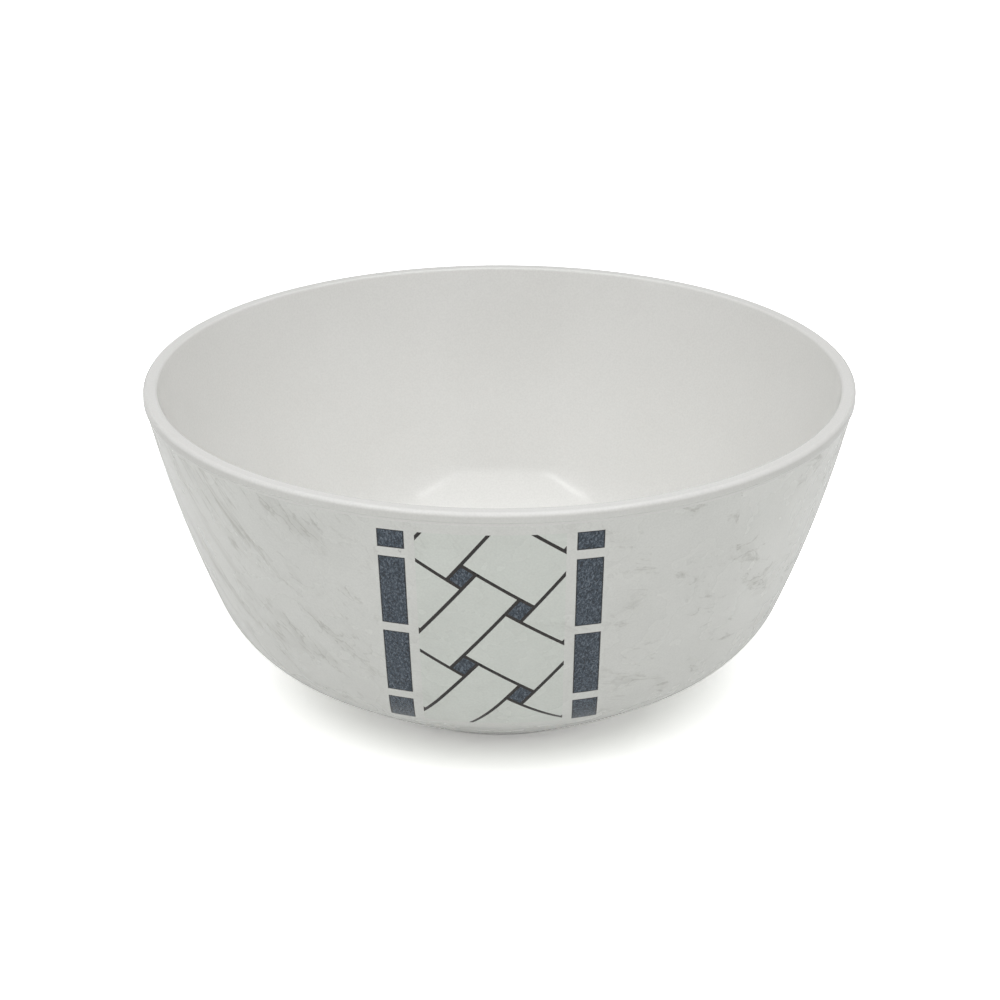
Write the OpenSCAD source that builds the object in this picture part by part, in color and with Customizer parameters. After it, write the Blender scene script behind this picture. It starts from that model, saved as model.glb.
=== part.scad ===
// Moulded serving bowl with a printed outside: a white body, two printed foils that lie flush
// in its wall, and the inked areas of the two panels, one on the front and one on the back.
// The origin is on the table under the middle of the bowl; the front panel faces -Y.

/* [Bowl] */
// Diameter over the lip
rim_d = 180; // [178:1:186]
// Height of the lip above the table
bowl_h = 85.5; // [85:0.5:88]
// Thickness of the wall below the lip
wall_t = 3.2; // [2.8:0.1:3.4]
// Thickness of the floor in the middle
floor_t = 3.5; // [3:0.1:4.5]

/* [Lip] */
// Depth of the plain collar round the lip
collar_h = 2.6; // [2.2:0.1:3.2]
// How far the collar stands out from the wall
collar_step = 0.3; // [0.2:0.05:0.5]
// Width of the lip, seen from above
lip_w = 3.6; // [3.4:0.1:4]
// Rounding of the lip's outer edge
lip_outer_r = 1.0; // [0.6:0.1:1.4]
// Rounding of the lip's inner edge
lip_inner_r = 0.8; // [0.4:0.1:1.2]
// Extra thickness of the wall where it joins the lip
lip_extra = 0.4; // [0.2:0.1:0.6]

/* [Wall] */
// Lean of the straight upper wall, from upright
wall_lean = 13.2; // [12:0.1:14]
// Length of the straight upper wall
wall_straight = 7; // [4:0.5:9]
// Radius of the long curve down the wall
wall_curve_r = 310; // [300:5:330]
// Lean where the wall turns into the shoulder
shoulder_lean = 22; // [21:0.1:23]
// Radius of the shoulder
shoulder_r = 30.7; // [29:0.1:32]
// Lean where the shoulder turns into the underside
under_lean = 55.8; // [54:0.1:57]
// Radius of the long curve under the bowl
under_curve_r = 280; // [260:5:300]
// Lean where the underside flattens towards the foot
under_end_lean = 61.2; // [60:0.1:62]

/* [Foot] */
// Radius of the curve that runs into the foot
foot_curve_r = 20; // [18:1:22]
// Lean of the underside where it meets the foot
foot_lean = 75; // [72:1:78]
// Width of the foot ring
foot_w = 3.4; // [2.5:0.1:5]
// Rounding of the foot's edges
foot_edge_r = 0.5; // [0.3:0.1:0.7]
// Depth of the hollow inside the foot ring
foot_hollow = 2; // [1.5:0.1:2.5]

/* [Printed foils] */
// Thickness of a foil
foil_t = 0.3; // [0.2:0.05:0.5]
// Top edge of the foils, measured down the wall from the collar
foil_top = 0.7; // [0.5:0.1:1.5]
// How far the foils stop short of the foot's curve
foil_margin = 1; // [0.5:0.5:4]

/* [Panel] */
// Top of the panel, measured down the wall from the collar
panel_top = 3.2; // [2:0.1:6]
// Bottom of the panel, measured down the wall from the collar
panel_bottom = 66.3; // [60:0.1:70]
// How much the panel draws in sideways for each mm down the wall
panel_taper = 0.0006; // [0:0.0001:0.001]

/* [Border blocks] */
// Distance from the panel's centre line to the blocks
block_inset = 19.5; // [18.5:0.1:21]
// Width of a block
block_w = 6.25; // [4:0.05:8]
// Length of a whole block, down the wall
block_len = 20.3; // [15:0.1:21.5]
// Distance from one block to the next, down the wall
block_pitch = 22.85; // [22.5:0.05:24]
// Top of the first whole block, down the wall
block_start = 10.85; // [9:0.05:12]

/* [Weave] */
// Half the width of the woven field
weave_half_w = 17.15; // [15:0.05:18]
// Slope of the wide straps
weave_angle = 36.5; // [30:0.5:45]
// Distance between gaps along the wide straps
pitch_along = 16.7; // [15:0.1:18]
// Distance between gaps across the wide straps
pitch_across = 22.4; // [20:0.1:24]
// Gap between two narrow straps
gap_along = 4.3; // [3:0.1:6]
// Gap between two wide straps
gap_across = 5.55; // [4:0.05:7]
// Near corner of the first gap, along and across the wide straps
first_gap = [1.55, 13.575];
// Thickness of the straps' outlines
line_w = 0.88; // [0.4:0.02:1]

/* [Hidden] */

rim_r = rim_d / 2;
degrees = 180 / PI;
half_line = line_w / 2;
lip_blend = 20;      // the wall has its own thickness from here down
foot_set_in = 0.4;   // the foot stands this far inside the end of the underside
field_margin = 8;    // outlines this far outside the panel can still reach into it
reach = rim_r + 5;   // further out than anything on the bowl

// The outside of the wall is one run from the collar down to the foot: a straight, then four
// arcs that each carry on from the last. A place on it is a distance down the run.
wall_top = [rim_r - collar_step, bowl_h - collar_h];

function arc_length(radius, lean_1, lean_2) = radius * (lean_2 - lean_1) / degrees;

run_1 = wall_straight;
run_2 = run_1 + arc_length(wall_curve_r, wall_lean, shoulder_lean);
run_3 = run_2 + arc_length(shoulder_r, shoulder_lean, under_lean);
run_4 = run_3 + arc_length(under_curve_r, under_lean, under_end_lean);
run_5 = run_4 + arc_length(foot_curve_r, under_end_lean, foot_lean);

function lean_at(run) =
    run < run_1 ? wall_lean :
    run < run_2 ? wall_lean + (run - run_1) / wall_curve_r * degrees :
    run < run_3 ? shoulder_lean + (run - run_2) / shoulder_r * degrees :
    run < run_4 ? under_lean + (run - run_3) / under_curve_r * degrees :
                  under_end_lean + (run - run_4) / foot_curve_r * degrees;

function along_line(from, run) = from + run * [-sin(wall_lean), -cos(wall_lean)];
function along_arc(from, radius, lean_1, lean_2) =
    from + radius * [cos(lean_2) - cos(lean_1), sin(lean_1) - sin(lean_2)];

corner_1 = along_line(wall_top, run_1);
corner_2 = along_arc(corner_1, wall_curve_r, wall_lean, shoulder_lean);
corner_3 = along_arc(corner_2, shoulder_r, shoulder_lean, under_lean);
corner_4 = along_arc(corner_3, under_curve_r, under_lean, under_end_lean);

// Radius and height of the outside at a distance down the run
function wall_at(run) =
    run < run_1 ? along_line(wall_top, run) :
    run < run_2 ? along_arc(corner_1, wall_curve_r, wall_lean, lean_at(run)) :
    run < run_3 ? along_arc(corner_2, shoulder_r, shoulder_lean, lean_at(run)) :
    run < run_4 ? along_arc(corner_3, under_curve_r, under_lean, lean_at(run)) :
                  along_arc(corner_4, foot_curve_r, under_end_lean, lean_at(run));

// The same place, sunk square into the wall
function inset_at(run, depth) =
    wall_at(run) + depth * [-cos(lean_at(run)), sin(lean_at(run))];

// Thickness of the wall at a distance down the run
function thickness_at(run) = wall_t + lip_extra * pow(max(0, 1 - run / lip_blend), 2);

// Steps from one place to the next, without the first
function steps(from, to, count) = [for (i = [1 : count]) from + (to - from) * i / count];

// A quarter round, or part of one, about a centre
function round(centre, radius, angle_1, angle_2, count = 5) =
    [for (i = [0 : count]) let (a = angle_1 + (angle_2 - angle_1) * i / count)
        centre + radius * [cos(a), sin(a)]];

function reversed(list) = [for (i = [len(list) - 1 : -1 : 0]) list[i]];

foil_end = run_4 - foil_margin;
foil_runs = concat([foil_top], steps(foil_top, run_2, 14), steps(run_2, run_3, 14),
                   steps(run_3, foil_end, 6));
inside_runs = concat([0], steps(0, lip_blend, 6), steps(lip_blend, run_2, 10),
                     steps(run_2, run_3, 12));

foot_r = wall_at(run_5)[0] - foot_set_in;
floor_z = foot_hollow + floor_t;
hollow_r = foot_r - foot_w - foot_hollow / 2;

// The inside floor is one arc from the shoulder to level
floor_edge = inset_at(run_3, wall_t);
floor_r = (floor_edge[1] - floor_z) / (1 - sin(under_lean));

module body_outline() {
    foot_part = concat(
        [[0, foot_hollow], [hollow_r, foot_hollow]],
        round([foot_r - foot_w + foot_edge_r, foot_edge_r], foot_edge_r, 180, 270),
        round([foot_r - foot_edge_r, foot_edge_r], foot_edge_r, 270, 360));
    outside = concat(
        [for (run = reversed(steps(run_4, run_5, 5))) wall_at(run)],
        [wall_at(run_4), wall_at(foil_end)],
        [for (run = reversed(foil_runs)) inset_at(run, foil_t)],
        [wall_at(foil_top), wall_top]);
    lip = concat(
        [[rim_r, bowl_h - collar_h + collar_step]],
        round([rim_r - lip_outer_r, bowl_h - lip_outer_r], lip_outer_r, 0, 90),
        round([rim_r - lip_w + lip_inner_r, bowl_h - lip_inner_r], lip_inner_r, 90,
              180 - wall_lean));
    inside = concat(
        [for (run = inside_runs) inset_at(run, thickness_at(run))],
        [for (lean = steps(under_lean, 90, 14))
            along_arc(floor_edge, floor_r, under_lean, lean)],
        [[0, floor_z]]);
    polygon(concat(foot_part, outside, lip, inside));
}

// One half wrap of foil, all round the front of the bowl
module half_foil() {
    rotate([0, 0, 180])
        rotate_extrude(angle = 180, $fn = 180)
            polygon(concat([for (run = foil_runs) wall_at(run)],
                           [for (run = reversed(foil_runs)) inset_at(run, foil_t)]));
}

// The panel is drawn flat, sideways and down the wall, and this places it in the front view
function on_front(side, run) = [side * (1 - panel_taper * run), wall_at(run)[1]];

// A place on the weave, along and across the wide straps, in the front view
function on_weave(along, across) = on_front(
    along * cos(weave_angle) - across * sin(weave_angle),
    along * sin(weave_angle) + across * cos(weave_angle));

// An upright strip of the panel, with its two long edges bent to follow the wall
module strip(side_1, side_2, top, bottom, count) {
    runs = concat([top], steps(top, bottom, count));
    polygon(concat([for (run = runs) on_front(side_1, run)],
                   [for (run = reversed(runs)) on_front(side_2, run)]));
}

module blocks_drawing() {
    for (side = [-1, 1], i = [-1 : 2])
        strip(side * block_inset, side * (block_inset + block_w),
              max(panel_top, block_start + i * block_pitch),
              min(panel_bottom, block_start + i * block_pitch + block_len), 4);
}

module weave_window() {
    strip(-weave_half_w, weave_half_w, panel_top, panel_bottom, 12);
}

// An outline runs from one gap's near corner to the next gap's far corner. It bends to follow
// the wall, and it has a corner wherever another outline butts against it.
function bends(near, far, pitch) = concat(
    [near + half_line, far - half_line, far + half_line],
    steps(far + half_line, near + pitch - half_line, 4),
    [near + pitch + half_line, far + pitch - half_line]);

module outline_along(low, high, across) {
    places = bends(low, high, pitch_along);
    polygon(concat([for (p = places) on_weave(p, across - half_line)],
                   [for (p = reversed(places)) on_weave(p, across + half_line)]));
}

module outline_across(near, far, along) {
    places = bends(near, far, pitch_across);
    polygon(concat([for (p = places) on_weave(along - half_line, p)],
                   [for (p = reversed(places)) on_weave(along + half_line, p)]));
}

module on_panel() {
    through_front() intersection() {
        children();
        weave_window();
    }
}

// The straps pass over and under in turn, so the outlines round every second gap run on over
// the next crossing and end at the far side of the next gap.
module each_outline() {
    for (i = [-1 : 3], j = [-1 : 2]) if ((i + j) % 2 == 0) {
        low = first_gap[0] + i * pitch_along;
        high = low + gap_along;
        near = first_gap[1] + j * pitch_across;
        far = near + gap_across;
        if (in_field(high + pitch_along / 2, near))
            on_panel() outline_along(low, high, near);
        if (in_field(low - pitch_along / 2, far))
            on_panel() outline_along(low - pitch_along, high - pitch_along, far);
        if (in_field(high, far + pitch_across / 2))
            on_panel() outline_across(near, far, high);
        if (in_field(low, near - pitch_across / 2))
            on_panel() outline_across(near - pitch_across, far - pitch_across, low);
    }
}

module each_gap() {
    for (i = [-1 : 3], j = [-1 : 2]) {
        low = first_gap[0] + i * pitch_along + half_line;
        high = low + gap_along - line_w;
        near = first_gap[1] + j * pitch_across + half_line;
        far = near + gap_across - line_w;
        if (in_field(low, near))
            on_panel() polygon([on_weave(low, near), on_weave(high, near),
                                on_weave(high, far), on_weave(low, far)]);
    }
}

// Whether a place on the weave is near enough to the panel to show in it
function in_field(along, across) =
    let (place = on_weave(along, across))
    abs(place[0]) < weave_half_w + field_margin &&
    place[1] < wall_at(panel_top)[1] + field_margin &&
    place[1] > wall_at(panel_bottom)[1] - field_margin;

// A drawing pushed straight back through the front wall
module through_front() {
    rotate([90, 0, 0]) linear_extrude(reach) children();
}

module to_back() { rotate([0, 0, 180]) children(); }

module bowl_body() {
    color("#e9e9e5") rotate_extrude($fn = 180) body_outline();
}

module marble_foil() {
    color("#c4c6c1") difference() {
        half_foil();
        through_front() blocks_drawing();
        each_outline();
        each_gap();
    }
}

module border_blocks() {
    color("#4b5563") intersection() {
        half_foil();
        through_front() blocks_drawing();
    }
}

module weave_lines() {
    color("#2c2a25") intersection() {
        half_foil();
        each_outline();
    }
}

module weave_gaps() {
    color("#4b5563") intersection() {
        half_foil();
        each_gap();
    }
}

bowl_body();
marble_foil();  // marble_foil_front
to_back() marble_foil();  // marble_foil_back
border_blocks();  // border_blocks_front
to_back() border_blocks();  // border_blocks_back
weave_lines();  // weave_lines_front
to_back() weave_lines();  // weave_lines_back
weave_gaps();  // weave_gaps_front
to_back() weave_gaps();  // weave_gaps_back
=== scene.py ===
"""A moulded melamine serving bowl: a white lathed body, a marble print round the outside, and an
inked panel on the front and on the back. Lengths of the bowl are in millimetres until a mesh is
made; those of the textures and the studio are in metres.
"""

import math

import bpy
from mathutils import Matrix, Vector
from mathutils.geometry import delaunay_2d_cdt


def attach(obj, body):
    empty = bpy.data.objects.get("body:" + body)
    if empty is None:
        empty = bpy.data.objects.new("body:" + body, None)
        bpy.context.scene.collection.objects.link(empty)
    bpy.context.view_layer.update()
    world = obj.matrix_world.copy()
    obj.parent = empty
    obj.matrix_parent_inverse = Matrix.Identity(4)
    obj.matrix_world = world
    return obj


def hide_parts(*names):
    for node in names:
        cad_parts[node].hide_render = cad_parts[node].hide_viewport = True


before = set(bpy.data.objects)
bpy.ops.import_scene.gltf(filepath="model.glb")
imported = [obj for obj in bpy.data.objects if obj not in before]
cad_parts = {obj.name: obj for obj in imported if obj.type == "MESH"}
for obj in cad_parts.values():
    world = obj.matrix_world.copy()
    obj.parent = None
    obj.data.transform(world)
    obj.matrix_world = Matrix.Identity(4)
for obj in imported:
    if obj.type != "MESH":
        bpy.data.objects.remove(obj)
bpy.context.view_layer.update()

MM = 0.001

# The bowl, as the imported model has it
RIM_R = 90.0
BOWL_H = 85.5
WALL_T = 3.2
FLOOR_T = 3.5
COLLAR_H = 2.6
COLLAR_STEP = 0.3
LIP_W = 3.6
LIP_OUTER_R = 1.0
LIP_INNER_R = 0.8
LIP_EXTRA = 0.4
LIP_BLEND = 20.0
FOOT_SET_IN = 0.4
FOOT_W = 3.4
FOOT_EDGE_R = 0.5
FOOT_HOLLOW = 2.0
FOIL_T = 0.3
FOIL_TOP = 0.7
FOIL_MARGIN = 1.0

# The outside runs down from the collar as arcs: (length or end lean, radius); the first is straight
STRAIGHT_RUN = 7.0
WALL_LEAN = 13.2
ARCS = ((310.0, 22.0), (30.7, 55.8), (280.0, 61.2), (20.0, 75.0))

# The panel, sideways from its centre line and down the run
PANEL_TOP = 3.2
PANEL_BOTTOM = 66.3
PANEL_TAPER = 0.0006
BLOCK_INSET = 19.5
BLOCK_W = 6.25
BLOCK_LEN = 20.3
BLOCK_PITCH = 22.85
BLOCK_START = 10.85
BLOCK_BORDER = 0.32
WEAVE_HALF_W = 17.15
WEAVE_ANGLE = math.radians(36.5)
PITCH_ALONG = 16.7
PITCH_ACROSS = 22.4
GAP_ALONG = 4.3
GAP_ACROSS = 5.55
FIRST_GAP = (1.55, 13.575)
LINE_W = 0.88

# How finely things are cut
LATHE_SIDES = 288
SAME_PLACE = 1e-6
WRAP_COLUMNS = 120
UNROLL_R = 80.0
PATTERN_STEP = 1.2


# ---------------------------------------------------------------- the wall's curve


def wall_pieces():
    """(start of the run, start point, radius, start lean, end lean) of each arc of the outside."""
    lean = math.radians(WALL_LEAN)
    run = STRAIGHT_RUN
    point = (
        RIM_R - COLLAR_STEP - run * math.sin(lean),
        BOWL_H - COLLAR_H - run * math.cos(lean),
    )
    made = []
    for radius, end in ARCS:
        end = math.radians(end)
        made.append((run, point, radius, lean, end))
        run += radius * (end - lean)
        point = along_arc(point, radius, lean, end)
        lean = end
    return made, run


def along_arc(point, radius, lean_1, lean_2):
    return (
        point[0] + radius * (math.cos(lean_2) - math.cos(lean_1)),
        point[1] + radius * (math.sin(lean_1) - math.sin(lean_2)),
    )


ARC_PIECES, RUN_END = wall_pieces()
RUN_2, RUN_3, RUN_4 = (piece[0] for piece in ARC_PIECES[1:])
UNDER_LEAN = ARC_PIECES[2][3]
FOIL_END = RUN_4 - FOIL_MARGIN


def lean_at(run):
    """How far the outside leans from upright at a distance down the run."""
    lean = math.radians(WALL_LEAN)
    for start, _, radius, lean_1, _ in ARC_PIECES:
        if run > start:
            lean = lean_1 + (run - start) / radius
    return lean


def wall_at(run):
    """(radius, height) of the outside at a distance down the run."""
    place = None
    for start, point, radius, lean_1, _ in ARC_PIECES:
        if run > start:
            place = along_arc(point, radius, lean_1, lean_1 + (run - start) / radius)
    if place is None:
        lean = math.radians(WALL_LEAN)
        place = (
            RIM_R - COLLAR_STEP - run * math.sin(lean),
            BOWL_H - COLLAR_H - run * math.cos(lean),
        )
    return place


def outward_at(run):
    """The outside's normal as (radial, upward)."""
    lean = lean_at(run)
    return (math.cos(lean), -math.sin(lean))


def inset_at(run, depth):
    place, out = wall_at(run), outward_at(run)
    return (place[0] - depth * out[0], place[1] - depth * out[1])


def thickness_at(run):
    return WALL_T + LIP_EXTRA * max(0.0, 1.0 - run / LIP_BLEND) ** 2


def steps(start, end, count):
    return [start + (end - start) * i / count for i in range(count + 1)]


# ---------------------------------------------------------------- meshes


def new_piece(name, vertices, faces, normals, materials, slot_of_face, replaced):
    """A mesh in millimetres made into a piece of the bowl, with a normal for each face corner."""
    mesh = bpy.data.meshes.new(name)
    mesh.from_pydata([Vector(v) * MM for v in vertices], [], faces)
    for material in materials:
        mesh.materials.append(material)
    mesh.polygons.foreach_set("material_index", slot_of_face)
    mesh.polygons.foreach_set("use_smooth", [True] * len(faces))
    mesh.normals_split_custom_set(normals)
    mesh.validate()
    piece = bpy.data.objects.new(name, mesh)
    bpy.context.scene.collection.objects.link(piece)
    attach(piece, "root")
    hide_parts(replaced)
    return piece


def arc_points(centre, radius, angle_1, angle_2, count):
    """Points of a rounding with their normals."""
    made = []
    for angle in steps(math.radians(angle_1), math.radians(angle_2), count):
        c, s = math.cos(angle), math.sin(angle)
        made.append((centre[0] + radius * c, centre[1] + radius * s, c, s))
    return made


def flat_points(start, end, out):
    return [(*start, *out), (*end, *out)]


def body_outline():
    """The body's half section, from the middle of the underside round to the middle of the floor,
    as smooth stretches of (radius, height, normal)."""
    foot_r = wall_at(RUN_END)[0] - FOOT_SET_IN
    hollow_r = foot_r - FOOT_W - FOOT_HOLLOW / 2
    inner_foot = (foot_r - FOOT_W + FOOT_EDGE_R, FOOT_EDGE_R)
    outer_foot = (foot_r - FOOT_EDGE_R, FOOT_EDGE_R)
    slope = Vector((inner_foot[1] - FOOT_HOLLOW, hollow_r - foot_r + FOOT_W)).normalized()
    foot_run = [(*wall_at(run), *outward_at(run)) for run in steps(RUN_END, RUN_4, 16)]
    recess = [(*inset_at(run, FOIL_T), *outward_at(run)) for run in foil_rows()[::-1]]
    lip_edge = (RIM_R, BOWL_H - COLLAR_H + COLLAR_STEP)
    wall_top = wall_at(0.0)
    top = wall_at(FOIL_TOP)
    lip_in = arc_points(
        (RIM_R - LIP_W + LIP_INNER_R, BOWL_H - LIP_INNER_R), LIP_INNER_R, 90, 180 - WALL_LEAN, 10
    )
    return [
        flat_points((0.0, FOOT_HOLLOW), (hollow_r, FOOT_HOLLOW), (0.0, -1.0)),
        flat_points(
            (hollow_r, FOOT_HOLLOW), (foot_r - FOOT_W, FOOT_EDGE_R), (slope[0], slope[1])
        ),
        arc_points(inner_foot, FOOT_EDGE_R, 180, 270, 6)
        + arc_points(outer_foot, FOOT_EDGE_R, 270, 360, 6),
        flat_points((foot_r, FOOT_EDGE_R), wall_at(RUN_END), (1.0, 0.0)),
        foot_run + [(*wall_at(FOIL_END), *outward_at(FOIL_END))],
        flat_points(wall_at(FOIL_END), inset_at(FOIL_END, FOIL_T), (0.0, 1.0)),
        recess,
        flat_points(inset_at(FOIL_TOP, FOIL_T), top, (0.0, -1.0)),
        flat_points(top, wall_top, outward_at(0.0)),
        flat_points(wall_top, lip_edge, (0.7, -0.7)),
        [(*lip_edge, 1.0, 0.0)]
        + arc_points((RIM_R - LIP_OUTER_R, BOWL_H - LIP_OUTER_R), LIP_OUTER_R, 0, 90, 12)
        + lip_in
        + inside_points(),
    ]


def foil_rows():
    """Distances down the run at which the wrap is cut across."""
    rows = []
    for start, end, count in (
        (FOIL_TOP, RUN_2, 30),
        (RUN_2, RUN_3, 16),
        (RUN_3, FOIL_END, 16),
    ):
        rows += steps(start, end, count)[:-1]
    return [*rows, FOIL_END]


def inside_points():
    """The inside from the lip down to the middle of the floor."""
    rows = steps(0.0, LIP_BLEND, 10)[:-1] + steps(LIP_BLEND, RUN_2, 16)[:-1]
    rows += steps(RUN_2, RUN_3, 24)[:-1]
    places = [inset_at(run, thickness_at(run)) for run in rows]
    edge = inset_at(RUN_3, WALL_T)
    radius = (edge[1] - FOOT_HOLLOW - FLOOR_T) / (1 - math.sin(UNDER_LEAN))
    for lean in steps(UNDER_LEAN, math.pi / 2, 30):
        places.append(along_arc(edge, radius, UNDER_LEAN, lean))
    places[-1] = (0.0, places[-1][1])
    made = []
    for i, place in enumerate(places):
        before, after = places[max(i - 1, 0)], places[min(i + 1, len(places) - 1)]
        along = Vector((after[0] - before[0], after[1] - before[1])).normalized()
        if i == len(places) - 1:
            along = Vector((-1.0, 0.0))
        made.append((*place, along[1], -along[0]))
    return made


def lathe_turns():
    """The angle of each upright line of a lathed body, from the front."""
    return [2 * math.pi * i / LATHE_SIDES for i in range(LATHE_SIDES)]


def add_ring(vertices, radius, height):
    """One turn of a lathed body as indices of its vertices; on the axis, one vertex throughout."""
    start = len(vertices)
    if radius < SAME_PLACE:
        vertices.append((0.0, 0.0, height))
        return [start] * LATHE_SIDES
    vertices.extend((radius * math.sin(t), -radius * math.cos(t), height) for t in lathe_turns())
    return list(range(start, start + LATHE_SIDES))


def add_band(faces, normals, ring_1, ring_2, point_1, point_2):
    """The faces between two rings of a lathed body, triangles where a ring is on the axis."""
    turns = lathe_turns()
    for k in range(LATHE_SIDES):
        n = (k + 1) % LATHE_SIDES
        corners = {}
        for vertex, point, turn in (
            (ring_1[k], point_1, turns[k]),
            (ring_1[n], point_1, turns[n]),
            (ring_2[n], point_2, turns[n]),
            (ring_2[k], point_2, turns[k]),
        ):
            normal = (point[2] * math.sin(turn), -point[2] * math.cos(turn), point[3])
            corners.setdefault(vertex, normal)
        if len(corners) > 2:
            faces.append(list(corners))
            normals.extend(corners.values())


def lathe(name, stretches, material, replaced):
    """A closed body of revolution, smooth along each stretch and sharp between them."""
    vertices, faces, normals = [], [], []
    ring, last_place = None, None
    for stretch in stretches:
        for i, point in enumerate(stretch):
            place = point[:2]
            if last_place is None or math.dist(place, last_place) > SAME_PLACE:
                last_ring, ring = ring, add_ring(vertices, *place)
                if i:
                    add_band(faces, normals, last_ring, ring, stretch[i - 1], point)
            last_place = place
    return new_piece(
        name, vertices, faces, normals, [material], [0] * len(faces), replaced
    )


# ---------------------------------------------------------------- the printed wrap


def unrolled(side, run):
    """Where a place on the panel lies on the unrolled wall."""
    x = side * (1 - PANEL_TAPER * run)
    return Vector((math.asin(x / wall_at(run)[0]) * UNROLL_R, run))


def fine_line(start, end):
    """Places from start up to end, close enough together to follow the wall."""
    count = max(1, math.ceil(math.dist(start, end) / PATTERN_STEP))
    return [
        (
            start[0] + (end[0] - start[0]) * i / count,
            start[1] + (end[1] - start[1]) * i / count,
        )
        for i in range(count)
    ]


def fine_outline(corners):
    """A closed outline of the panel, on the unrolled wall."""
    places = []
    for start, end in zip(corners, corners[1:] + corners[:1]):
        places += fine_line(start, end)
    return [unrolled(*place) for place in places]


def upright_box(side_1, side_2, top, bottom):
    return [(side_1, top), (side_2, top), (side_2, bottom), (side_1, bottom)]


def block_boxes():
    """(left, right, top, bottom) of each border block."""
    made = []
    for side in (-1, 1):
        near, far = sorted((side * BLOCK_INSET, side * (BLOCK_INSET + BLOCK_W)))
        for i in range(-1, 3):
            top = max(PANEL_TOP, BLOCK_START + i * BLOCK_PITCH)
            bottom = min(PANEL_BOTTOM, BLOCK_START + i * BLOCK_PITCH + BLOCK_LEN)
            made.append((near, far, top, bottom))
    return made


def on_weave(along, across):
    """(sideways, down the run) from a place along and across the wide straps."""
    c, s = math.cos(WEAVE_ANGLE), math.sin(WEAVE_ANGLE)
    return (along * c - across * s, along * s + across * c)


def weave_box(low, high, near, far):
    return [on_weave(low, near), on_weave(high, near), on_weave(high, far), on_weave(low, far)]


def gap_corners():
    """(i + j, low, high, near, far) of each gap in the weave."""
    for i in range(-1, 4):
        for j in range(-1, 3):
            low = FIRST_GAP[0] + i * PITCH_ALONG
            near = FIRST_GAP[1] + j * PITCH_ACROSS
            yield i + j, low, low + GAP_ALONG, near, near + GAP_ACROSS


def near_panel(corners):
    """Whether a shape can reach into the woven field."""
    sides = [corner[0] for corner in corners]
    runs = [corner[1] for corner in corners]
    return (
        min(sides) < WEAVE_HALF_W
        and max(sides) > -WEAVE_HALF_W
        and min(runs) < PANEL_BOTTOM
        and max(runs) > PANEL_TOP
    )


def outline_shapes():
    """The outlines of the straps, which pass over and under in turn."""
    w = LINE_W / 2
    made = []
    for parity, low, high, near, far in gap_corners():
        if parity % 2:
            continue
        made += [
            weave_box(low - w, high + PITCH_ALONG + w, near - w, near + w),
            weave_box(low - PITCH_ALONG - w, high + w, far - w, far + w),
            weave_box(high - w, high + w, near - w, far + PITCH_ACROSS + w),
            weave_box(low - w, low + w, near - PITCH_ACROSS - w, far + w),
        ]
    return [shape for shape in made if near_panel(shape)]


def gap_shapes():
    made = [weave_box(*corners) for _, *corners in gap_corners()]
    return [shape for shape in made if near_panel(shape)]


def cut_wrap():
    """The unrolled half wrap cut along the grid and along every printed edge. Gives its places
    and {kind: faces}, where a kind is foil, field, block, border, line or gap."""
    columns = steps(-UNROLL_R * math.pi / 2, UNROLL_R * math.pi / 2, WRAP_COLUMNS)
    rows = foil_rows()
    places = [Vector((u, v)) for v in rows for u in columns]
    wide = len(columns)
    edges = []
    for r in range(len(rows)):
        for c in range(wide):
            if c + 1 < wide:
                edges.append((r * wide + c, r * wide + c + 1))
            if r + 1 < len(rows):
                edges.append((r * wide + c, (r + 1) * wide + c))
    last = len(places) - 1
    shapes, kinds = [[0, wide - 1, last, last - wide + 1]], ["wrap"]

    def add(kind, corners):
        outline = fine_outline(corners)
        shapes.append(list(range(len(places), len(places) + len(outline))))
        kinds.append(kind)
        places.extend(outline)

    add("field", upright_box(-WEAVE_HALF_W, WEAVE_HALF_W, PANEL_TOP, PANEL_BOTTOM))
    for left, right, top, bottom in block_boxes():
        b = BLOCK_BORDER
        add("border", upright_box(left, right, top, bottom))
        add("block", upright_box(left + b, right - b, top + b, bottom - b))
    for corners in outline_shapes():
        add("line", corners)
    for corners in gap_shapes():
        add("gap", corners)
    cut, _, faces, _, _, sources = delaunay_2d_cdt(places, edges, shapes, 4, 1e-6, True)
    sorted_faces = {kind: [] for kind in ("foil", "field", "block", "border", "line", "gap")}
    for face, source in zip(faces, sources):
        inside = {kinds[s] for s in source}
        if "wrap" not in inside:
            continue
        if "block" in inside:
            kind = "block"
        elif "border" in inside:
            kind = "border"
        elif "field" in inside and "line" in inside:
            kind = "line"
        elif "field" in inside:
            kind = "gap" if "gap" in inside else "field"
        else:
            kind = "foil"
        sorted_faces[kind].append(face)
    return cut, sorted_faces


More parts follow.
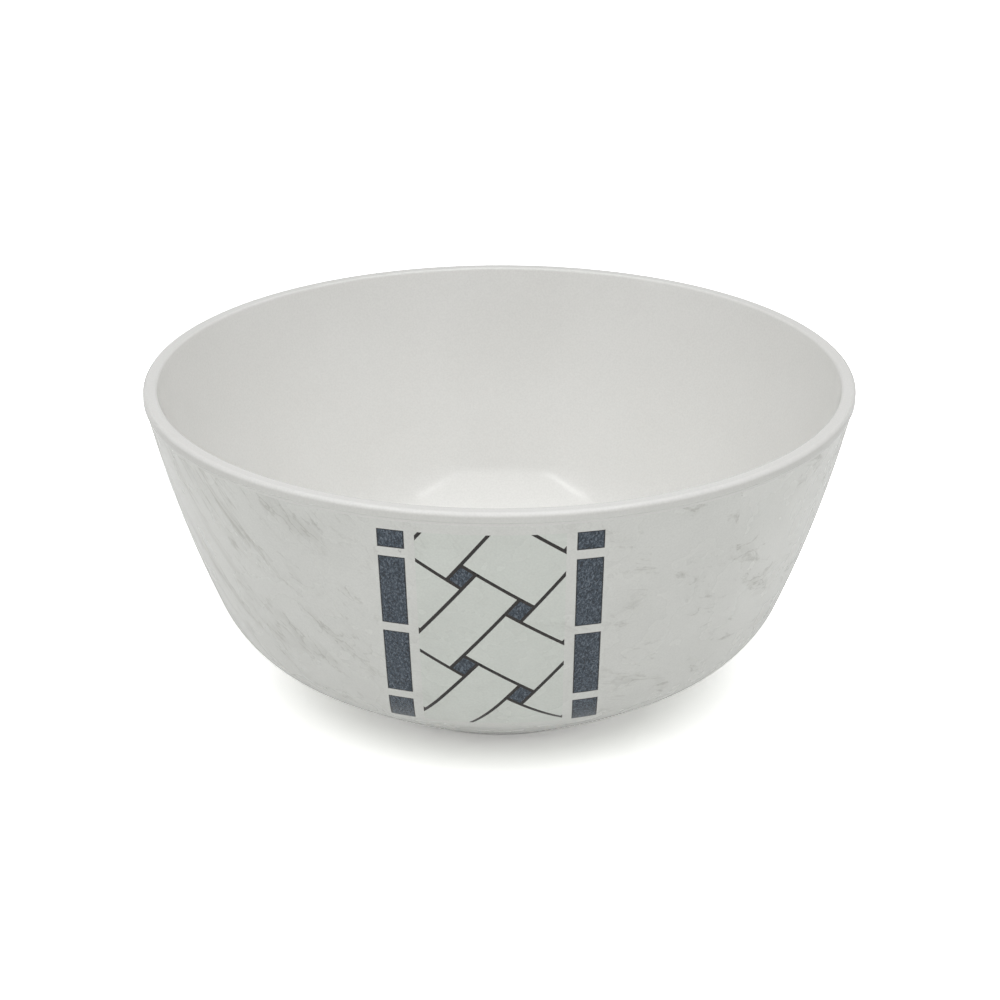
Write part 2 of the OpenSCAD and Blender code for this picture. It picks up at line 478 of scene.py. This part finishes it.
def shell(name, places, faces, turn, materials, slot_of_face, replaced):
    """A closed sheet as thick as the foil, over some faces of the unrolled wall."""
    used = sorted({index for face in faces for index in face})
    order = {index: i for i, index in enumerate(used)}
    count = len(used)
    outer, inner, out = [], [], []
    for index in used:
        angle = places[index][0] / UNROLL_R + turn
        run = places[index][1]
        sine, cosine = math.sin(angle), math.cos(angle)
        for depth, made in ((0.0, outer), (FOIL_T, inner)):
            radius, height = inset_at(run, depth)
            made.append((radius * sine, -radius * cosine, height))
        radial, upward = outward_at(run)
        out.append(Vector((radial * sine, -radial * cosine, upward)))
    made_faces, normals, made_slots = [], [], []
    sides = {}
    for face, kind in zip(faces, slot_of_face):
        corners = [order[index] for index in face]
        first, second, third = (Vector(outer[c]) for c in corners[:3])
        if (second - first).cross(third - first).dot(out[corners[0]]) < 0:
            corners.reverse()
        made_faces.append(corners)
        normals.extend(out[c] for c in corners)
        made_slots.append(kind)
        made_faces.append([c + count for c in reversed(corners)])
        normals.extend(-out[c] for c in reversed(corners))
        made_slots.append(kind)
        for a, b in zip(corners, corners[1:] + corners[:1]):
            if (b, a) in sides:
                del sides[(b, a)]
            else:
                sides[(a, b)] = kind
    for (a, b), kind in sides.items():
        made_faces.append([b, a, a + count, b + count])
        flat = (Vector(outer[a]) - Vector(outer[b])).cross(Vector(inner[a]) - Vector(outer[b]))
        normals.extend([flat.normalized()] * 4)
        made_slots.append(kind)
    return new_piece(
        name, outer + inner, made_faces, normals, materials, made_slots, replaced
    )


# ---------------------------------------------------------------- materials

# Sizes of the textures' features, and the glaze
GRAIN_SIZE = (0.0005,) * 3
SMEAR_SIZE = (0.012,) * 3
WAVE_SIZE = (0.0022,) * 3
WAVE_STRENGTH = 0.15
WAVE_DEPTH = 0.00002
GLAZE_IOR = 1.5
BODY_GLOSS = (0.12, 0.17)
PRINT_GLOSS = (0.22, 0.30)

# The directions that the marble's streaks, blotches and veins run in
STREAK_SLANT = (0.47, -0.42, -0.78)
BLOTCH_SLANT = (0.8, 0.55, -0.25)
VEIN_SLANT = (0.8, 0.55, -0.35)
WORM_SLANT = (0.1, 0.05, 1.0)
VEIN_COLOUR = (0.50, 0.50, 0.46)
FIELD_TINT = (0.955, 0.985, 0.965)
# painted shade on the outside of the white collar
COLLAR_PAINTED_SHADE = (0.79, 0.795, 0.78)
# painted shade on the marble print towards the panels
PANEL_PAINTED_SHADE = 0.90
NAVY_STOPS = (
    (0.36, (0.006, 0.013, 0.022)),
    (0.5, (0.035, 0.055, 0.078)),
    (0.66, (0.135, 0.165, 0.200)),
)


def principled(name):
    material = bpy.data.materials.new(name)
    material.use_nodes = True
    nodes = material.node_tree.nodes
    return material, nodes, material.node_tree.links, nodes["Principled BSDF"]


def noise(nodes, links, vector, scale, detail=2.0, roughness=0.5, distortion=0.0):
    made = nodes.new("ShaderNodeTexNoise")
    made.inputs["Scale"].default_value = scale
    made.inputs["Detail"].default_value = detail
    made.inputs["Roughness"].default_value = roughness
    made.inputs["Distortion"].default_value = distortion
    links.new(vector, made.inputs["Vector"])
    return made.outputs["Fac"]


def ramp(nodes, links, value, *stops):
    made = nodes.new("ShaderNodeValToRGB")
    elements = made.color_ramp.elements
    while len(elements) < len(stops):
        elements.new(0.5)
    for element, (position, colour) in zip(elements, stops):
        element.position = position
        element.color = (*colour, 1.0)
    links.new(value, made.inputs["Fac"])
    return made.outputs["Color"]


def grey(value):
    return (value, value, value)


def mixed(nodes, links, factor, a, b, blend="MIX"):
    made = nodes.new("ShaderNodeMix")
    made.data_type = "RGBA"
    made.blend_type = blend
    sockets = {s.identifier: s for s in made.inputs}
    for key, value in (("Factor_Float", factor), ("A_Color", a), ("B_Color", b)):
        socket = sockets[key]
        if isinstance(value, bpy.types.NodeSocket):
            links.new(value, socket)
        elif key == "Factor_Float":
            socket.default_value = value
        else:
            socket.default_value = (*value, 1.0)
    return next(s for s in made.outputs if s.identifier == "Result_Color")


def texture_place(nodes, links, size, along=None):
    """Object coordinates measured in features of a size, in metres. Where along is given, the
    first size lies along that direction."""
    place = nodes.new("ShaderNodeTexCoord")
    mapping = nodes.new("ShaderNodeMapping")
    mapping.vector_type = "TEXTURE"
    mapping.inputs["Scale"].default_value = size
    if along:
        mapping.inputs["Rotation"].default_value = Vector(along).to_track_quat("X", "Z").to_euler()
    links.new(place.outputs["Object"], mapping.inputs["Vector"])
    return mapping.outputs["Vector"]


def math_node(nodes, links, operation, a, b=None, clamp=False):
    made = nodes.new("ShaderNodeMath")
    made.operation = operation
    made.use_clamp = clamp
    for socket, value in zip(made.inputs, (a, b)):
        if isinstance(value, bpy.types.NodeSocket):
            links.new(value, socket)
        elif value is not None:
            socket.default_value = value
    return made.outputs[0]


def smooth_range(nodes, links, value, low, high, to_low=0.0, to_high=1.0):
    made = nodes.new("ShaderNodeMapRange")
    made.interpolation_type = "SMOOTHSTEP"
    made.inputs["From Min"].default_value = low
    made.inputs["From Max"].default_value = high
    made.inputs["To Min"].default_value = to_low
    made.inputs["To Max"].default_value = to_high
    links.new(value, made.inputs["Value"])
    return made.outputs["Result"]


def threads(nodes, links, place, width, distortion):
    """Thin wandering lines, 1 on a line and 0 away from it."""
    field = noise(nodes, links, place, 1.0, 4.0, 0.55, distortion)
    off = math_node(nodes, links, "ABSOLUTE", math_node(nodes, links, "SUBTRACT", field, 0.5))
    return smooth_range(nodes, links, off, 0.0, width, 1.0, 0.0)


def glaze(nodes, links, shader, smoothest, roughest):
    """The clear surface over everything: smeared gloss and a faint waviness."""
    smear = noise(nodes, links, texture_place(nodes, links, SMEAR_SIZE), 1.0, 3.0)
    links.new(
        smooth_range(nodes, links, smear, 0.3, 0.7, smoothest, roughest),
        shader.inputs["Roughness"],
    )
    shader.inputs["IOR"].default_value = GLAZE_IOR
    wave = noise(nodes, links, texture_place(nodes, links, WAVE_SIZE), 1.0, 2.0)
    bump = nodes.new("ShaderNodeBump")
    bump.inputs["Strength"].default_value = WAVE_STRENGTH
    bump.inputs["Distance"].default_value = WAVE_DEPTH
    links.new(wave, bump.inputs["Height"])
    links.new(bump.outputs["Normal"], shader.inputs["Normal"])


def speckled(nodes, links, size, detail, darker, paler, least):
    """A cloudy tone between two colours, with fine specks that darken it to least at most."""
    cloud = noise(nodes, links, texture_place(nodes, links, size), 1.0, detail)
    tone = ramp(nodes, links, cloud, (0.3, darker), (0.7, paler))
    grain = noise(nodes, links, texture_place(nodes, links, GRAIN_SIZE), 1.0, 1.0)
    speck = ramp(nodes, links, grain, (0.3, grey(least)), (0.7, grey(1.0)))
    return mixed(nodes, links, 1.0, tone, speck, "MULTIPLY")


def object_axes(nodes, links):
    """The object's own coordinates, one output for each axis."""
    coordinates = nodes.new("ShaderNodeTexCoord")
    axes = nodes.new("ShaderNodeSeparateXYZ")
    links.new(coordinates.outputs["Object"], axes.inputs[0])
    return axes.outputs


def product(nodes, links, a, b, clamp=False):
    return math_node(nodes, links, "MULTIPLY", a, b, clamp)


def total(nodes, links, a, b):
    return math_node(nodes, links, "ADD", a, b)


def white_melamine():
    material, nodes, links, shader = principled("white_melamine")
    tone = speckled(
        nodes, links, (0.03,) * 3, 3.0, (0.890, 0.887, 0.862), (0.912, 0.910, 0.888), 0.95
    )

    # painted shade: the outside of the white collar is darkened to about the grey of the print below
    # it
    axes = object_axes(nodes, links)
    square_x = math_node(nodes, links, "POWER", axes["X"], 2.0)
    square_y = math_node(nodes, links, "POWER", axes["Y"], 2.0)
    out = math_node(nodes, links, "SQRT", total(nodes, links, square_x, square_y))
    outside = smooth_range(nodes, links, out, (RIM_R - 1.0) * MM, (RIM_R - 0.1) * MM)
    below_lip = smooth_range(
        nodes, links, axes["Z"], (BOWL_H - 1.3) * MM, (BOWL_H - 0.3) * MM, 1.0, 0.0
    )
    collar_shade_mask = product(nodes, links, outside, below_lip)
    shade = ramp(nodes, links, collar_shade_mask, (0.0, grey(1.0)), (1.0, COLLAR_PAINTED_SHADE))
    links.new(mixed(nodes, links, 1.0, tone, shade, "MULTIPLY"), shader.inputs["Base Color"])
    glaze(nodes, links, shader, *BODY_GLOSS)
    return material


def streaks(nodes, links):
    """Long slanting streaks, with threads along the stronger ones."""
    band_place = texture_place(nodes, links, (0.060, 0.0060, 0.0060), STREAK_SLANT)
    band = noise(nodes, links, band_place, 1.0, 3.0, 0.6, 0.2)
    streak = smooth_range(nodes, links, band, 0.50, 0.72)
    thread_place = texture_place(nodes, links, (0.042, 0.0042, 0.0042), STREAK_SLANT)
    thread = threads(nodes, links, thread_place, 0.030, 0.25)
    thread = product(nodes, links, thread, smooth_range(nodes, links, band, 0.42, 0.6))
    return total(
        nodes, links, product(nodes, links, streak, 0.30), product(nodes, links, thread, 0.5)
    )


def blotches(nodes, links):
    """Blotches with wandering veins in them."""
    blotch_place = texture_place(nodes, links, (0.016, 0.016, 0.010), BLOTCH_SLANT)
    blotch = noise(nodes, links, blotch_place, 1.0, 4.0, 0.65, 0.9)
    patch = smooth_range(nodes, links, blotch, 0.54, 0.74)
    vein_place = texture_place(nodes, links, (0.016, 0.008, 0.0055), VEIN_SLANT)
    vein = threads(nodes, links, vein_place, 0.034, 0.9)
    vein = product(nodes, links, vein, smooth_range(nodes, links, blotch, 0.5, 0.62))
    return total(
        nodes, links, product(nodes, links, patch, 0.40), product(nodes, links, vein, 0.55)
    )


def marble_print(name="marble_print", tint=(1.0, 1.0, 1.0)):
    """A pale marble: streaks on the left, blotches on the right, and a soft cloudiness over both."""
    material, nodes, links, shader = principled(name)
    tone = speckled(
        nodes, links, (0.02,) * 3, 4.0, (0.788, 0.798, 0.758), (0.836, 0.846, 0.806), 0.94
    )
    left, right = streaks(nodes, links), blotches(nodes, links)
    axes = object_axes(nodes, links)
    side = smooth_range(nodes, links, axes["X"], -0.02, 0.02)
    left = product(nodes, links, left, math_node(nodes, links, "SUBTRACT", 1.0, side))
    dark = total(nodes, links, left, product(nodes, links, right, side))

    # the veins fade towards the panels, and painted shade makes the print a touch darker there,
    # front and back
    sideways = math_node(nodes, links, "ABSOLUTE", axes["X"])
    fade = smooth_range(nodes, links, sideways, 0.022, 0.036, 0.3, 1.0)
    dark = product(nodes, links, dark, fade, clamp=True)
    veined = mixed(nodes, links, dark, tone, VEIN_COLOUR)
    clear = smooth_range(nodes, links, sideways, 0.045, 0.075)
    shade = ramp(nodes, links, clear, (0.0, tuple(PANEL_PAINTED_SHADE * c for c in tint)), (1.0, tint))
    links.new(mixed(nodes, links, 1.0, veined, shade, "MULTIPLY"), shader.inputs["Base Color"])
    glaze(nodes, links, shader, *PRINT_GLOSS)
    return material


def navy_ink(name="navy_ink", shade=1.0):
    material, nodes, links, shader = principled(name)
    worm_place = texture_place(nodes, links, (0.00075, 0.00042, 0.00042), WORM_SLANT)
    worm = noise(nodes, links, worm_place, 1.0, 2.0, 0.6, 0.8)
    stops = [(place, tuple(c * shade for c in colour)) for place, colour in NAVY_STOPS]
    links.new(ramp(nodes, links, worm, *stops), shader.inputs["Base Color"])
    glaze(nodes, links, shader, *PRINT_GLOSS)
    return material


def dark_ink():
    material, nodes, links, shader = principled("dark_ink")
    worm = noise(nodes, links, texture_place(nodes, links, (0.0006,) * 3), 1.0, 2.0)
    tone = ramp(
        nodes, links, worm, (0.3, (0.006, 0.005, 0.0045)), (0.7, (0.022, 0.016, 0.013))
    )
    links.new(tone, shader.inputs["Base Color"])
    glaze(nodes, links, shader, *PRINT_GLOSS)
    return material


# ---------------------------------------------------------------- the bowl


def build_bowl():
    lathe("melamine_body", body_outline(), white_melamine(), "bowl_body")
    places, faces = cut_wrap()
    marble, field = marble_print(), marble_print("field_print", FIELD_TINT)
    navy = navy_ink()
    border, dark = navy_ink("navy_border", 0.3), dark_ink()
    prints = (
        ("marble_wrap", (("foil", marble), ("field", field)), "marble_foil", "marble_print"),
        ("block_ink", (("block", navy), ("border", border)), "border_blocks", "navy_ink"),
        ("strap_lines", (("line", dark),), "weave_lines", "dark_ink"),
        ("gap_ink", (("gap", navy),), "weave_gaps", "navy_ink"),
    )
    for end, turn in (("front", 0.0), ("back", math.pi)):
        for name, layers, node, slot in prints:
            used, slots = [], []
            for number, (kind, _) in enumerate(layers):
                used += faces[kind]
                slots += [number] * len(faces[kind])
            materials = [material for _, material in layers]
            shell(f"{name}_{end}", places, used, turn, materials, slots, f"{node}_{end}")


# ---------------------------------------------------------------- the studio

CAMERA_AZIMUTH = math.radians(1.35)
CAMERA_OUT = 0.5909
CAMERA_UP = 0.3038
CAMERA_DOWN = math.radians(23.227)
CAMERA_YAW = math.radians(-0.0118)
CAMERA_ROLL = math.radians(-0.085)
LENS = 89.0
FLOOR_BOUNCE = 0.95
FLOOR_SHOWN = 2.2
FLOOR_GLOW = 0.06
FLOOR_HALF = 3.0
FLOOR_LEVEL = -0.00005
FLAG_HALF_W = 0.45
FLAG_Y = -1.25
FLAG_LOW, FLAG_HIGH = 0.2, 0.72
SOFTBOX_PLACE = (0.0, -0.68, 1.2)
SOFTBOX_SIZE = (1.38, 2.08)
SOFTBOX_POWER = 10.3
STRIP_OUT = 0.67
STRIP_Y = -1.1
STRIP_UP = 1.19
STRIP_SIZE = (0.05, 1.2)
STRIP_POWERS = ((-1, 2.0), (1, 1.2))
WORLD_STRENGTH = 0.42


def add_camera():
    data = bpy.data.cameras.new("camera")
    data.lens = LENS
    data.sensor_width = 36.0
    data.clip_start, data.clip_end = 0.01, 20.0
    camera = bpy.data.objects.new("camera", data)
    bpy.context.scene.collection.objects.link(camera)
    turn = (
        Matrix.Rotation(CAMERA_AZIMUTH + CAMERA_YAW, 4, "Z")
        @ Matrix.Rotation(math.pi / 2 - CAMERA_DOWN, 4, "X")
        @ Matrix.Rotation(CAMERA_ROLL, 4, "Z")
    )
    place = Matrix.Translation(
        (
            CAMERA_OUT * math.sin(CAMERA_AZIMUTH),
            -CAMERA_OUT * math.cos(CAMERA_AZIMUTH),
            CAMERA_UP,
        )
    )
    camera.matrix_world = place @ turn
    bpy.context.scene.camera = camera


def stage_sheet(name, corners, material):
    """A flat four-cornered sheet of the studio."""
    mesh = bpy.data.meshes.new(name)
    mesh.from_pydata(corners, [], [(0, 1, 2, 3)])
    mesh.materials.append(material)
    sheet = bpy.data.objects.new(name, mesh)
    bpy.context.scene.collection.objects.link(sheet)
    return sheet


def add_floor():
    h, z = FLOOR_HALF, FLOOR_LEVEL
    stage_sheet("floor", [(-h, -h, z), (h, -h, z), (h, h, z), (-h, h, z)], pale_floor())


def pale_floor():
    """A white floor, brighter to the camera than the light it bounces, that also glows faintly."""
    material = bpy.data.materials.new("pale_floor")
    material.use_nodes = True
    nodes, links = material.node_tree.nodes, material.node_tree.links
    nodes.clear()
    path = nodes.new("ShaderNodeLightPath")
    colour = mixed(
        nodes, links, path.outputs["Is Camera Ray"], grey(FLOOR_BOUNCE), grey(FLOOR_SHOWN)
    )
    lit = nodes.new("ShaderNodeBsdfDiffuse")
    glow = nodes.new("ShaderNodeEmission")
    both = nodes.new("ShaderNodeAddShader")
    output = nodes.new("ShaderNodeOutputMaterial")
    hidden = math_node(nodes, links, "SUBTRACT", 1.0, path.outputs["Is Camera Ray"])
    links.new(math_node(nodes, links, "MULTIPLY", hidden, FLOOR_GLOW), glow.inputs["Strength"])
    links.new(colour, lit.inputs["Color"])
    links.new(lit.outputs[0], both.inputs[0])
    links.new(glow.outputs[0], both.inputs[1])
    links.new(both.outputs[0], output.inputs["Surface"])
    return material


def add_light(name, place, size, power):
    """A rectangular light that faces straight down."""
    data = bpy.data.lights.new(name, "AREA")
    data.shape = "RECTANGLE"
    data.size, data.size_y = size
    data.energy = power
    light = bpy.data.objects.new(name, data)
    bpy.context.scene.collection.objects.link(light)
    light.location = place
    light.rotation_mode = "QUATERNION"
    light.rotation_quaternion = Vector((0.0, 0.0, -1.0)).to_track_quat("-Z", "Y")


def add_flag():
    """The dark side of the studio, behind the camera and unseen by it."""
    material, _, _, shader = principled("dark_cloth")
    shader.inputs["Base Color"].default_value = (0.05, 0.05, 0.05, 1.0)
    shader.inputs["Roughness"].default_value = 0.9
    corners = [
        (-FLAG_HALF_W, FLAG_Y, FLAG_LOW),
        (FLAG_HALF_W, FLAG_Y, FLAG_LOW),
        (FLAG_HALF_W, FLAG_Y, FLAG_HIGH),
        (-FLAG_HALF_W, FLAG_Y, FLAG_HIGH),
    ]
    stage_sheet("flag", corners, material).visible_camera = False


def add_world():
    world = bpy.data.worlds.new("studio")
    world.use_nodes = True
    background = world.node_tree.nodes["Background"]
    background.inputs["Color"].default_value = (1.0, 1.0, 1.0, 1.0)
    background.inputs["Strength"].default_value = WORLD_STRENGTH
    bpy.context.scene.world = world


def build_studio():
    add_camera()
    add_floor()
    add_light("top_softbox", SOFTBOX_PLACE, SOFTBOX_SIZE, SOFTBOX_POWER)
    for side, power in STRIP_POWERS:
        add_light("edge_strip", (side * STRIP_OUT, STRIP_Y, STRIP_UP), STRIP_SIZE, power)
    add_flag()
    add_world()
    settings = bpy.context.scene.view_settings
    settings.view_transform = "Standard"
    settings.look = "None"


build_studio()
build_bowl()
